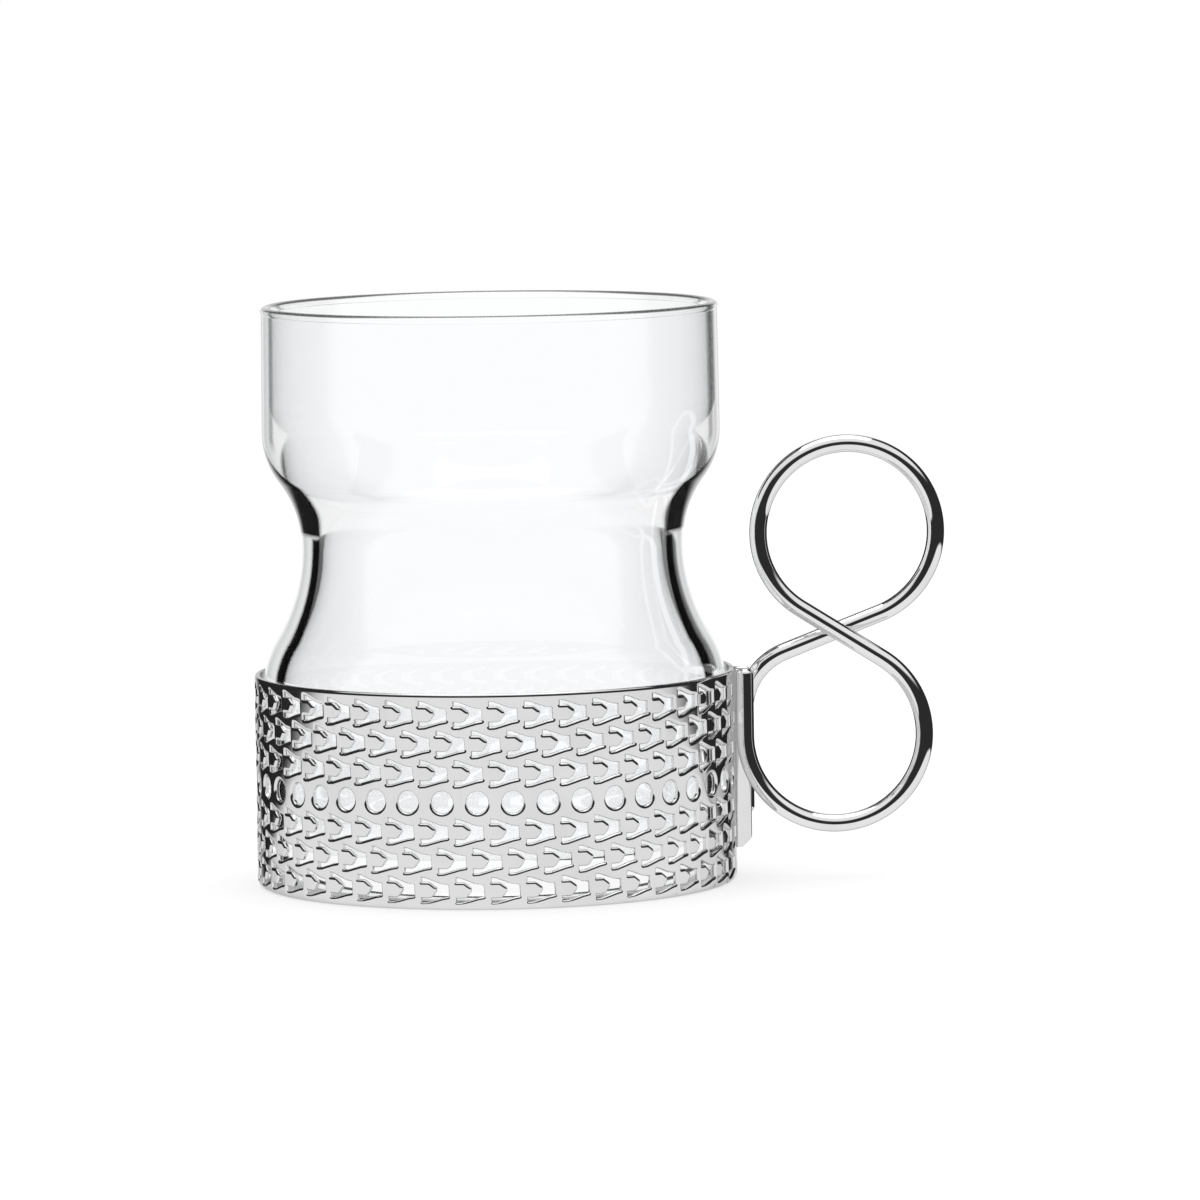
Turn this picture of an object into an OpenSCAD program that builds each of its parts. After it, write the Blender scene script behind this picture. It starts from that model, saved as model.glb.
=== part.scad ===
// Tea glass in a perforated steel holder with a figure-eight wire handle.
// +Z is up. The origin is the ring's axis at the surface that the holder stands on,
// and the handle points along +X.

/* [Glass] */
// Height of the glass from its foot to its rim
glass_h = 90.2; // [88:0.1:110]
// Outer diameter of the mouth just under the rim
mouth_d = 71.4; // [66:0.1:72]
// Outer diameter of the upper bowl where its shoulder ends
bowl_d = 71.8; // [68:0.1:72.4]
// Outer diameter at the waist
waist_d = 59.8; // [54:0.1:62]
// Outer diameter of the lower bulge, inside the ring
bulge_d = 72.8; // [71:0.1:73]
// Height of the waist above the foot
waist_h = 52.4; // [50:0.1:56]
// Radius of the hollow curve above the waist
waist_up_r = 17.1; // [12:0.1:20]
// Radius of the shoulder under the upper bowl
shoulder_r = 12.9; // [8:0.1:16]
// Radius of the hollow curve below the waist
waist_low_r = 26.5; // [20:0.1:30]
// Radius of the shoulder over the lower bulge
hip_r = 17.3; // [12:0.1:20]
// Thickness of the upper bowl's wall
glass_wall = 1.3; // [1:0.05:2]
// Thickness of the wall at the waist and below it
low_wall = 3.3; // [1.5:0.05:4]
// Radius of the curve above the waist, on the inside
waist_in_r = 18; // [12:0.1:22]
// Radius of the shoulder, on the inside
shoulder_in_r = 10; // [6:0.1:14]
// Thickness of the base at its middle
glass_base = 4.2; // [3:0.1:7]
// Thickness of the rounded rim
rim_bead = 1.5; // [1.3:0.05:2.4]
// Radius that rounds the foot
foot_r = 6; // [4:0.1:7]
// Radius that rounds the floor inside
floor_r = 8; // [5:0.1:12]
// Diameter of the hollow under the base
punt_d = 44; // [30:0.5:50]
// Depth of the hollow under the base
punt_deep = 1.4; // [0.5:0.1:2]

/* [Holder band] */
// Gap between the glass's bulge and the ring all round
glass_gap = 0.5; // [0.3:0.05:1.5]
// Thickness of the sheet
sheet = 0.8; // [0.6:0.05:1]
// Height of the ring
band_h = 33.3; // [32:0.1:38]
// How far the lip reaches in under the flat of the glass's foot
seat_w = 1.4; // [1:0.1:4]
// Outer radius of the bend between the ring and its lip
lip_bend_r = 1.1; // [0.9:0.05:1.6]
// Bevel at the ring's upper edge
edge_bevel = 0.2; // [0.1:0.05:0.3]

/* [Perforation] */
// Columns of holes round the ring
columns = 41; // [30:1:42]
// Distance from the seam to the first round hole, going clockwise seen from above
seam_gap = 6.58; // [6:0.01:9]
// Distance from the last round hole to the seam
last_gap = 9.5; // [8:0.01:12]
// Metal left between neighbouring C-shaped holes in a row
web = 0.47; // [0.3:0.01:1.5]
// Rows of C-shaped holes above and below the row of round holes, where the ring is tall
// enough for them
side_rows = 3; // [1:1:3]
// Height of a C-shaped hole at its open side
c_h = 4.55; // [3:0.01:4.6]
// How far the holes of one row may reach into the next row
row_nest = 0.1; // [0:0.01:0.1]
// Plain metal above the top row and below the bottom row
margin = 0.82; // [0.8:0.01:3]
// Diameter of the round holes in the middle row
dot_d = 4.1; // [2:0.05:4.5]

/* [Seam tabs] */
// How far the two tabs stand out from the ring
tab_out = 2.4; // [2:0.05:4]
// Height of the tabs' lower end above the table
tab_z = 4.8; // [3:0.1:8]
// Chamfer at the tabs' lower outer corner
tab_chamfer = 1.5; // [0.5:0.1:1.8]
// Radius inside the bend between the ring and a tab
tab_bend_r = 0.5; // [0.3:0.05:0.7]
// Depth of the groove between the two tabs along their outer edge
tab_groove = 0.25; // [0.1:0.05:0.5]

/* [Wire handle] */
// Diameter of the wire
wire_d = 2.75; // [2:0.05:3]
// Gap between the wire's ends and the ring
wire_gap = 0.15; // [0.1:0.05:0.6]
// Depth to which the welds sink the wire into the tabs
weld = 0.1; // [0.05:0.01:0.2]
// Drop from the ring's top to the wire's front end
end_drop = 0.1; // [0:0.1:3]
// Straight run of the wire down the front of the tabs
front_run = 10.6; // [6:0.1:12]
// Straight run of the wire down the back of the tabs
rear_run = 16.1; // [8:0.1:18]
// Radius of the lower loop at the middle of the wire
loop_low_r = 14.05; // [12:0.05:15]
// Radius of the upper loop at the middle of the wire
loop_up_r = 13.95; // [12:0.05:15]
// Height of the upper loop's centre over the lower loop's
loop_rise = 31.65; // [31:0.05:36]
// How far the upper loop's centre stands out past the lower loop's
loop_lean = 2.3; // [0:0.05:4]
// Radius of the bend that brings the wire back to the tabs
return_r = 10; // [8:0.1:11]
// Height of that bend's centre over the lower loop's
return_rise = 3.5; // [2:0.1:5]
// Clear gap between the strands where they cross
cross_gap = 0.3; // [0.2:0.05:1]
// Radius that rounds the ends of the wire
wire_end_r = 1; // [0.5:0.05:1]

/* [Hidden] */
$fn = 96;

// Overrun of every cut
cut = 1;
// How far one curved face starts inside another that it runs into
bite = 0.05;
// Faces round the wire
wire_sides = 16;
// Length of a step along the wire's curves
wire_step = 1.8;
// Length of a step along the curves of the glass
glass_step = 1.2;
// Steps along the rim's bead, the hollow under the base, the sheet's bends and the
// rounded ends of the wire
rim_steps = 12;
punt_steps = 8;
bend_steps = 6;
end_steps = 4;
// Flat faces that the ring has for each column of holes
flats = 2;
// Where the first flat starts past a column, as a share of a flat's width
flat_start_share = 0.1;
// Turn of the fillets at the tabs that lies hidden inside the sheet
fillet_tuck = 20;
// Turn by which the gap between the strip's ends stops short of the tabs' middle
seam_stop = 10;

bulge_r = bulge_d / 2;
ring_in_r = bulge_r + glass_gap;
ring_r = ring_in_r + sheet;
tab_x = ring_r + tab_out;

// Points on an arc from angle a to angle b, n steps, both ends included
function arc(c, r, a, b, n) =
    [for (i = [0:n]) let (t = a + (b - a) * i / n) c + r * [cos(t), sin(t)]];

// Steps of a given length that an arc needs
function arc_steps(r, a, b, step) = ceil(abs(b - a) / 360 * 2 * PI * r / step);

// The glass: one wall of revolution, thin round the upper bowl and thicker below

waist_r = waist_d / 2;
waist_z = sheet + waist_h;
mouth_z = sheet + glass_h;
turn_low = acos(1 - (bulge_d - waist_d) / 2 / (waist_low_r + hip_r));
hip_z = waist_z - (waist_low_r + hip_r) * sin(turn_low);

// Side of the glass from the bulge to the mouth. It lies low_t inside the outer face up to
// the waist, and up_t inside it at the upper bowl, which it reaches by two arcs.
function side(low_t, up_t, up_r, top_r) =
    let (
        bowl_r = bowl_d / 2 - up_t,
        turn_up = acos(1 - (bowl_r - waist_r + low_t) / (up_r + top_r)),
        shoulder_z = waist_z + (up_r + top_r) * sin(turn_up)
    )
    concat(
        arc([bulge_r - hip_r, hip_z], hip_r - low_t, 0, turn_low,
            arc_steps(hip_r, 0, turn_low, glass_step)),
        arc([waist_r + waist_low_r, waist_z], waist_low_r + low_t, 180 + turn_low, 180,
            arc_steps(waist_low_r, 0, turn_low, glass_step)),
        arc([waist_r - low_t + up_r, waist_z], up_r, 180, 180 - turn_up,
            arc_steps(up_r, 0, turn_up, glass_step)),
        arc([bowl_r - top_r, shoulder_z], top_r, -turn_up, 0,
            arc_steps(top_r, 0, turn_up, glass_step))
    );

module tea_glass() {
    foot_z = sheet;
    floor_z = foot_z + glass_base;
    bead_r = rim_bead / 2;
    bead_c = [(mouth_d - glass_wall) / 2, mouth_z - bead_r];
    // The bead meets the wall where the wall's half thickness cuts its circle
    meet = asin(glass_wall / rim_bead);
    foot = arc([bulge_r - foot_r, foot_z + foot_r], foot_r, -90, 0,
        arc_steps(foot_r, 0, 90, glass_step / 2));
    bowl_floor = arc([bulge_r - low_wall - floor_r, floor_z + floor_r], floor_r, 0, -90,
        arc_steps(floor_r, 0, 90, glass_step / 2));
    rim = arc(bead_c, bead_r, meet - 90, 270 - meet, rim_steps);
    inner = side(low_wall, glass_wall, waist_in_r, shoulder_in_r);
    punt_r = (pow(punt_d / 2, 2) + pow(punt_deep, 2)) / 2 / punt_deep;
    punt_turn = asin(punt_d / 2 / punt_r);
    punt = arc([0, foot_z + punt_deep - punt_r], punt_r, 90, 90 - punt_turn, punt_steps);
    color("azure", 0.4)
        rotate_extrude()
            polygon(concat(
                punt, foot, side(0, 0, waist_up_r, shoulder_r), rim,
                [for (i = [len(inner) - 1:-1:0]) inner[i]],
                bowl_floor, [[0, floor_z]]
            ));
}

// The holder: one sheet bent into a ring, with a lip turned in under the glass

column_pitch = (2 * PI * ring_r - seam_gap - last_gap) / (columns - 1);
// Height from the middle of the lowest row of C-shaped holes to the middle of the highest
rows_h = band_h - 2 * margin - c_h;
rows_that_fit = floor(rows_h / 2 / (max(c_h, (c_h + dot_d) / 2) - row_nest));
rows = max(1, min(side_rows, rows_that_fit));
row_pitch = rows_h / 2 / rows;
c_w = column_pitch - web;

// Angle of a length along the outside of the ring
function round_ring(length) = length / ring_r * 180 / PI;

// Corners of a C-shaped hole: x as a share of its width from its open side, and y as a
// share of its height from its middle. The last five are the tongue that runs into it.
c_hole_shares = [
    [0.01, 0.5], [0.2, 0.48], [0.7, 0.28], [0.98, 0.24], [1, -0.26], [0.75, -0.32],
    [0.26, -0.48], [0.06, -0.5], [0, -0.41], [0.01, -0.19],
    [0.31, -0.19], [0.43, -0.09], [0.5, 0.05], [0.29, 0.2], [0, 0.2]
];
// Where a C-shaped hole's open side lies from the round hole of its column, as shares of
// the pitch, in the rows at odd and at even distances from the middle row
odd_row_share = -0.69;
even_row_share = -0.19;

// A straight-sided tool through the sheet, at a distance along the ring and a height
module at_wall(along, z) {
    rotate([0, 0, round_ring(along)])
        translate([ring_in_r - cut, 0, z])
            rotate([90, 0, 90])
                linear_extrude(sheet + 2 * cut)
                    children();
}

module perforation() {
    c_hole = [for (s = c_hole_shares) [s.x * c_w, s.y * c_h]];
    for (i = [0:columns - 1]) {
        dot_at = -seam_gap - i * column_pitch;
        at_wall(dot_at, band_h / 2) circle(d = dot_d);
        for (k = [1:rows], side = [-1, 1]) {
            share = k % 2 == 0 ? even_row_share : odd_row_share;
            at_wall(dot_at + share * column_pitch, band_h / 2 + side * k * row_pitch)
                polygon(c_hole);
        }
    }
}

// Plan of the ring at a radius, as narrow flats: a whole number to each column, so that
// every column of holes is cut alike, and as many more of about that width at the seam
function ring_plan(r) =
    let (
        step = round_ring(column_pitch / flats),
        start = step * (flat_start_share + ceil(flats / 2)) - round_ring(seam_gap),
        seam_flats = round(360 / step) - columns * flats
    )
    r * [for (i = [0:columns * flats + seam_flats - 1])
        let (t = i <= columns * flats ? start - i * step
            : start - columns * flats * step
                - (i - columns * flats) * (360 - columns * flats * step) / seam_flats)
        [cos(t), sin(t)]];

module ring() {
    bend_c = [ring_r - lip_bend_r + bite, lip_bend_r];
    difference() {
        intersection() {
            linear_extrude(band_h)
                polygon(ring_plan(ring_r));
            rotate_extrude()
                polygon(concat(
                    [[0, 0]],
                    arc(bend_c, lip_bend_r, -90, 0, bend_steps),
                    [[ring_r + bite, band_h - edge_bevel], [ring_r - edge_bevel, band_h],
                        [0, band_h]]
                ));
        }
        translate([0, 0, sheet])
            linear_extrude(band_h)
                polygon(ring_plan(ring_in_r));
        translate([0, 0, band_h - edge_bevel])
            cylinder(h = 2 * edge_bevel, r1 = ring_in_r - bite,
                r2 = ring_in_r - bite + 2 * edge_bevel);
        translate([0, 0, -cut])
            cylinder(h = sheet + 2 * cut, r = bulge_r - foot_r - seat_w);
    }
}

// Outline of the two tabs in plan, with the fillets where the ring turns out into them
module tabs_plan() {
    // The fillets start a little inside the sheet, so that they cross its face
    bend_c = [sqrt(pow(ring_r + tab_bend_r - bite, 2) - pow(sheet + tab_bend_r, 2)),
        sheet + tab_bend_r];
    from = atan2(bend_c.y, bend_c.x) + 180 - fillet_tuck;
    upper = concat(
        [[ring_r - sheet / 2, bend_c.y]],
        arc(bend_c, tab_bend_r, from, 270, bend_steps),
        [[tab_x, sheet], [tab_x, tab_groove], [tab_x - tab_groove, 0]]
    );
    polygon(concat(upper, mirrored(upper)));
}

// Outline of the gap on the inside, where the two ends of the strip curve out of the ring
module seam_plan() {
    bend_r = tab_bend_r + sheet;
    bend_c = [sqrt(pow(ring_in_r + bend_r, 2) - pow(bend_r, 2)), bend_r];
    // The gap starts where the bend has left the ring's inner face by this much
    from = 180 + acos(1 - bite / bend_r) + atan2(bend_c.y, bend_c.x);
    upper = concat(
        [[ring_in_r - cut, bend_c.y]],
        arc(bend_c, bend_r, from, 270 - seam_stop, bend_steps)
    );
    polygon(concat(upper, mirrored(upper)));
}

// The same points below the X axis, in reverse order
function mirrored(points) = [for (i = [len(points) - 1:-1:0]) [points[i].x, -points[i].y]];

module holder_band() {
    color("silver")
        difference() {
            union() {
                difference() {
                    ring();
                    perforation();
                }
                translate([0, 0, tab_z])
                    linear_extrude(band_h - tab_z)
                        tabs_plan();
            }
            translate([0, 0, tab_z])
                linear_extrude(band_h)
                    seam_plan();
            // The chamfer at the tabs' lower outer corner
            translate([tab_x, 0, tab_z])
                rotate([0, 45, 0])
                    cube([2 * tab_chamfer, 2 * sheet + 2 * cut, sqrt(2) * tab_chamfer],
                        center = true);
        }
}

// The handle: one wire swept along straight runs and arcs, seen from the front.
// Its middle line is a list of stations [x, y, z, heading, radius], where the heading is
// the angle of the section's own axis in the XZ plane.

wire_r = wire_d / 2;
wire_x = ring_r + wire_gap + wire_r;
// Half the distance between the strands at the tabs, and where they cross
strand_y = sheet + wire_r - weld;
cross_y = (wire_d + cross_gap) / 2;
front_end_z = band_h - end_drop;
low_c = [wire_x + loop_low_r, front_end_z - front_run];
up_c = low_c + [loop_lean, loop_rise];
return_c = [wire_x + return_r, low_c.y + return_rise];
// Where the straight strands touch the loops, as angles round their centres
front_touch = heading(low_c, up_c) - acos((loop_low_r + loop_up_r) / norm(up_c - low_c));
rear_touch = heading(return_c, up_c) + acos((return_r + loop_up_r) / norm(up_c - return_c));

function heading(a, b) = atan2(b.y - a.y, b.x - a.x);
function ease(a, b, t) = a + (b - a) * (1 - cos(180 * t)) / 2;

// Stations on an arc round c from angle a to angle b, while y goes from y0 to y1
function loop(c, r, a, b, y0, y1, flip) =
    let (n = arc_steps(r, a, b, wire_step))
    [for (i = [0:n]) let (t = a + (b - a) * i / n)
        [c.x + r * cos(t), ease(y0, y1, i / n), c.y + r * sin(t), t - flip, wire_r]];

// Stations round one end of the wire, from its tip inwards
function wire_end(y, z, down) = [
    for (i = [0:end_steps])
        let (a = 90 - 90 * i / end_steps)
        [wire_x, y, z + down * wire_end_r * (sin(a) - 1), 180, wire_r - wire_end_r * (1 - cos(a))]
];

stations = concat(
    wire_end(-strand_y, front_end_z, 1),
    loop(low_c, loop_low_r, 180, 360 + front_touch, -strand_y, -cross_y, 0),
    loop(up_c, loop_up_r, 180 + front_touch, rear_touch - 180, -cross_y, cross_y, 180),
    loop(return_c, return_r, rear_touch, 180, cross_y, strand_y, 0),
    [for (i = [end_steps:-1:0]) wire_end(strand_y, return_c.y - rear_run, -1)[i]]
);

module wire_handle() {
    n = wire_sides;
    last = (len(stations) - 1) * n;
    color("silver")
        polyhedron(
            points = [for (s = stations, j = [0:n - 1])
                let (a = 360 * (j + 0.5) / n, u = s[4] * cos(a), v = s[4] * sin(a))
                [s.x + u * cos(s[3]), s.y + v, s.z + u * sin(s[3])]],
            faces = concat(
                [[for (j = [0:n - 1]) j]],
                [for (i = [0:len(stations) - 2], j = [0:n - 1])
                    let (a = i * n + j, b = i * n + (j + 1) % n)
                    each [[a, a + n, b + n], [a, b + n, b]]],
                [[for (j = [n - 1:-1:0]) last + j]]
            )
        );
}

tea_glass();
holder_band();
wire_handle();
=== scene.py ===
"""Tea glass in a ring of perforated steel with a figure-eight wire handle.

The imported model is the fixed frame. The sheet ring, the wire and the glass are built
again as finer meshes in the same places, and are dressed with procedural finishes.
"""
import logging
import math
from collections.abc import Callable
from dataclasses import dataclass, field, replace
from enum import Enum
from functools import reduce

import bpy
import numpy as np
from mathutils import Euler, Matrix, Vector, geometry


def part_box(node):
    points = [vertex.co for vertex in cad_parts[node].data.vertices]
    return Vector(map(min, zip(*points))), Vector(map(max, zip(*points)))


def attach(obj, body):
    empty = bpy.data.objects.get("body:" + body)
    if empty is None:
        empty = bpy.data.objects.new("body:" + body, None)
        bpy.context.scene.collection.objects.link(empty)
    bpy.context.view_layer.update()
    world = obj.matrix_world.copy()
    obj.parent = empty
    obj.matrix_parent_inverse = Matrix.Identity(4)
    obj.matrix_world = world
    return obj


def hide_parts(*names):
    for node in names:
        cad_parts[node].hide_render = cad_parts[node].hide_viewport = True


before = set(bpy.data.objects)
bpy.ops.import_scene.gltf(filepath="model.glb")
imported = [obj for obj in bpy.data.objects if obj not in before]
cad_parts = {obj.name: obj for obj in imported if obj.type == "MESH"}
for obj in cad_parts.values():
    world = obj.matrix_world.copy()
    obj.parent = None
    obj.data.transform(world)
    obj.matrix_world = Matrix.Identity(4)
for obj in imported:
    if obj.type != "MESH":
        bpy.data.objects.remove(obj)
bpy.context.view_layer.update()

MM = 0.001
RIGHT_ANGLE = math.pi / 2
# The most of a side that a rounded corner takes, and the most it turns from point to point
CORNER_SHARE = 0.46
CORNER_TURN = math.radians(24)
# Vertices that are alike when they are rounded to so many steps in a millimetre are welded
WELD_STEPS = 1e4
# Points that are nearer to each other than this are one
SAME_POINT = 1e-6
# Nothing is divided by a length that is less than this
LEAST_LENGTH = 1e-9
# The light that fills the metal and the glass where too few reflections reach
PALE_LIGHT = (0.97, 0.97, 0.97, 1.0)

log = logging.getLogger("tea_glass_holder")


class Body(Enum):
    """The two bodies that come apart."""

    HOLDER = "holder"
    GLASS = "glass"


class StripEnd(Enum):
    """The two ends of the steel strip, by the way in which each tab runs along it."""

    FRONT = 1
    BACK = -1


class Rim(Enum):
    """How an edge of the sheet is finished."""

    ROUNDED = "rounded"
    JOINED = "joined"


def rise_and_tangent(angle: np.ndarray) -> tuple[np.ndarray, np.ndarray]:
    """Gives the unit vectors (cos, sin) of angles and of the angles a quarter turn on."""
    unit = np.stack([np.cos(angle), np.sin(angle)], -1)
    return unit, np.stack([-unit[..., 1], unit[..., 0]], -1)


def arc_points(centre: tuple[float, float], radius: float, start: float, end: float,
               step: float) -> np.ndarray:
    """Places points along an arc.

    Args:
        centre: The arc's centre.
        radius: Its radius.
        start: The angle of its first point, in radians.
        end: The angle of its last point, in radians.
        step: The longest step between two points.

    Returns:
        An array of (x, y) rows, both ends included.
    """
    count = max(2, math.ceil(abs(end - start) * radius / step))
    angles = np.linspace(start, end, count + 1)
    unit, _ = rise_and_tangent(angles)
    return np.asarray(centre) + radius * unit


@dataclass
class Outline:
    """A closed outline in the flat sheet, with the way into the metal at each point."""

    points: np.ndarray
    inwards: np.ndarray
    rims: list[Rim] = field(default_factory=list)

    def moved(self, along: float, up: float) -> "Outline":
        """Gives a copy of the outline at another place."""
        return Outline(self.points + [along, up], self.inwards, self.rims)


@dataclass(frozen=True)
class Corner:
    """A corner of an outline, in millimetres, and the radius that rounds it."""

    x: float
    y: float
    radius: float = 0.0
    inwards: tuple[float, float] | None = None
    rim: Rim = Rim.ROUNDED


def rounded(corners: list[Corner], step: float, hole: bool) -> Outline:
    """Rounds a polygon's corners and divides its long sides.

    Args:
        corners: The corners, counter-clockwise.
        step: The longest side between two points.
        hole: Whether the metal is outside the outline.

    Returns:
        The outline, with unit vectors that point into the metal.
    """
    sign = 1.0 if hole else -1.0
    places = [np.array([c.x, c.y]) for c in corners]
    runs: list[tuple[list[np.ndarray], list[np.ndarray]]] = []
    for i, corner in enumerate(corners):
        if corner.radius == 0:
            way = np.zeros(2) if corner.inwards is None else np.array(corner.inwards)
            runs.append(([places[i]], [way]))
            continue
        before = places[i - 1] - places[i]
        after = places[(i + 1) % len(corners)] - places[i]
        a = before / np.linalg.norm(before)
        b = after / np.linalg.norm(after)
        half = math.acos(max(-1.0, min(1.0, float(a @ b)))) / 2
        left_turn = (-a[0]) * b[1] - (-a[1]) * b[0] > 0
        room = CORNER_SHARE * min(np.linalg.norm(before), np.linalg.norm(after))
        tangent = min(corner.radius / math.tan(half), room)
        radius = tangent * math.tan(half)
        middle = (a + b) / np.linalg.norm(a + b)
        centre = places[i] + middle * radius / math.sin(half)
        start = places[i] + a * tangent - centre
        sweep = (math.pi - 2 * half) * (1 if left_turn else -1)
        first = math.atan2(start[1], start[0])
        pieces = max(2, math.ceil(abs(sweep) / CORNER_TURN))
        unit, _ = rise_and_tangent(np.linspace(first, first + sweep, pieces + 1))
        out = unit if left_turn else -unit
        runs.append((list(centre + radius * unit), list(out * sign)))
    points: list[np.ndarray] = []
    inwards: list[np.ndarray] = []
    rims: list[Rim] = []
    for corner, (run_points, run_ways), following in zip(corners, runs, runs[1:] + runs[:1]):
        points.extend(run_points)
        inwards.extend(run_ways)
        rims.extend([Rim.ROUNDED] * (len(run_points) - 1) + [corner.rim])
        gap = following[0][0] - run_points[-1]
        length = float(np.linalg.norm(gap))
        along = gap / length
        way = np.array([along[1], -along[0]]) * sign
        if corner.rim is Rim.JOINED:
            way = np.zeros(2)
        count = math.ceil(length / step)
        for k in range(1, count):
            points.append(run_points[-1] + gap * k / count)
            inwards.append(way)
            rims.append(corner.rim)
    return Outline(np.array(points), np.array(inwards), rims)


def inside(points: np.ndarray, polygon: np.ndarray) -> np.ndarray:
    """Tells which points lie inside a polygon, by counting the sides to their right.

    Args:
        points: Rows of (x, y).
        polygon: Its corners, in rows of (x, y).

    Returns:
        True or false for each point.
    """
    x = points[:, 0][:, None]
    y = points[:, 1][:, None]
    ax, ay = polygon[:, 0], polygon[:, 1]
    bx, by = np.roll(ax, -1), np.roll(ay, -1)
    spans = (ay > y) != (by > y)
    crossing = ax + (y - ay) * (bx - ax) / np.where(by == ay, 1.0, by - ay)
    return ((spans & (x < crossing)).sum(1) % 2) == 1


@dataclass
class Surface:
    """Points of a bent sheet with their normal and the two directions along the sheet."""

    place: np.ndarray
    normal: np.ndarray
    along: np.ndarray
    up: np.ndarray


# A function that bends points of a flat sheet, at a depth below its outer face
Bend = Callable[[np.ndarray, float], Surface]


def unit_rows(rows: np.ndarray) -> np.ndarray:
    """Scales each row to the length of one."""
    return rows / np.maximum(np.linalg.norm(rows, axis=1, keepdims=True), LEAST_LENGTH)


def add_object(name: str, data: bpy.types.ID) -> bpy.types.Object:
    """Makes an object of a mesh, a lamp or a camera and puts it in the scene.

    Args:
        name: The object's name.
        data: What it shows.

    Returns:
        The object.
    """
    made = bpy.data.objects.new(name, data)
    bpy.context.scene.collection.objects.link(made)
    return made


def smooth_piece(name: str, places: np.ndarray, faces: list[list[int]],
                 ways: np.ndarray | None = None) -> bpy.types.Object:
    """Makes a smooth object.

    Args:
        name: The name of the object and of its mesh.
        places: Its vertices, in millimetres.
        faces: The numbers of each face's vertices.
        ways: The vertices' normals, where they are known exactly.

    Returns:
        The object, in metres.
    """
    mesh = bpy.data.meshes.new(name)
    mesh.from_pydata((places * MM).tolist(), [], faces)
    mesh.shade_smooth()
    if ways is not None:
        mesh.normals_split_custom_set_from_vertices(ways.tolist())
    return add_object(name, mesh)


@dataclass
class MeshData:
    """Vertices, their normals and faces, gathered before one mesh is made of them."""

    places: list[np.ndarray] = field(default_factory=list)
    normals: list[np.ndarray] = field(default_factory=list)
    faces: list[list[int]] = field(default_factory=list)
    count: int = 0

    def add(self, places: np.ndarray, normals: np.ndarray) -> np.ndarray:
        """Adds vertices.

        Args:
            places: Their places, in millimetres.
            normals: Their normals.

        Returns:
            Their numbers.
        """
        self.places.append(places)
        self.normals.append(normals)
        numbers = np.arange(self.count, self.count + len(places))
        self.count += len(places)
        return numbers

    def add_strip(self, first: np.ndarray, second: np.ndarray, keep: np.ndarray) -> None:
        """Joins two closed rows of vertices with quads where keep is set."""
        quads = np.stack([first, np.roll(first, -1), np.roll(second, -1), second], 1)
        self.faces.extend(quads[keep].tolist())

    def build(self, name: str) -> bpy.types.Object:
        """Welds the vertices that coincide and makes a smooth object.

        Args:
            name: The name of the object and of its mesh.

        Returns:
            The object.
        """
        places = np.concatenate(self.places)
        normals = np.concatenate(self.normals)
        _, first, where = np.unique(np.round(places * WELD_STEPS).astype(np.int64), axis=0,
                                    return_index=True, return_inverse=True)
        where = where.ravel()
        faces = []
        for face in self.faces:
            welded = [int(where[i]) for i in face]
            kept = [v for i, v in enumerate(welded) if v != welded[i - 1]]
            if len(set(kept)) > 2:
                faces.append(kept)
        made = smooth_piece(name, places[first], faces, normals[first])
        made.data.validate()
        return made


@dataclass
class Perforation:
    """The stamped pattern: C-shaped holes in rows, and one row of round holes."""

    columns: int = 41
    # From the seam to the first round hole, and from the last one to the seam
    seam_gap: float = 6.58
    last_gap: float = 9.5
    # The metal left between two holes of a row
    web: float = 0.47
    side_rows: int = 3
    height: float = 4.55
    margin: float = 0.82
    dot: float = 4.1
    dot_sides: int = 32
    # How far a row is shifted against the round holes, in shares of their distance
    odd_row_share: float = -0.69
    even_row_share: float = -0.19
    step: float = 0.7

    def c_hole(self, width: float) -> Outline:
        """Draws one C-shaped hole from its open side, with the tongue that runs into it.

        Args:
            width: The hole's width.

        Returns:
            Its outline, round the middle of its open side.
        """
        w, h = width, self.height
        return rounded([
            Corner(0.00 * w, 0.20 * h, 0.3), Corner(0.29 * w, 0.20 * h, 0.5),
            Corner(0.50 * w, 0.03 * h, 0.25), Corner(0.35 * w, -0.20 * h, 0.5),
            Corner(0.00 * w, -0.20 * h, 0.25), Corner(0.01 * w, -0.50 * h, 0.4),
            Corner(0.26 * w, -0.48 * h, 0.8), Corner(0.75 * w, -0.32 * h, 1.0),
            Corner(1.00 * w, -0.27 * h, 0.4), Corner(0.98 * w, 0.24 * h, 0.4),
            Corner(0.70 * w, 0.28 * h, 1.2), Corner(0.20 * w, 0.48 * h, 0.6),
            Corner(0.00 * w, 0.50 * h, 0.3),
        ], self.step, hole=True)

    def dot_hole(self) -> Outline:
        """Draws one round hole round its own centre."""
        unit, _ = rise_and_tangent(np.linspace(0, 2 * math.pi, self.dot_sides, endpoint=False))
        return Outline(unit * self.dot / 2, unit, [Rim.ROUNDED] * len(unit))

    def holes(self, ring_r: float, band_h: float) -> list[Outline]:
        """Places every hole on the flat strip.

        Args:
            ring_r: The outer radius of the ring.
            band_h: The height of the ring.

        Returns:
            The outlines, by distance along the ring and height.
        """
        pitch = (2 * math.pi * ring_r - self.seam_gap - self.last_gap) / (self.columns - 1)
        row_pitch = (band_h - 2 * self.margin - self.height) / (2 * self.side_rows)
        c_hole = self.c_hole(pitch - self.web)
        dot_hole = self.dot_hole()
        placed = []
        for column in range(self.columns):
            at = -self.seam_gap - column * pitch
            placed.append(dot_hole.moved(at, band_h / 2))
            for row in range(1, self.side_rows + 1):
                share = self.odd_row_share if row % 2 else self.even_row_share
                for side in (-1, 1):
                    up = band_h / 2 + side * row * row_pitch
                    placed.append(c_hole.moved(at + share * pitch, up))
        return placed


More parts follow.
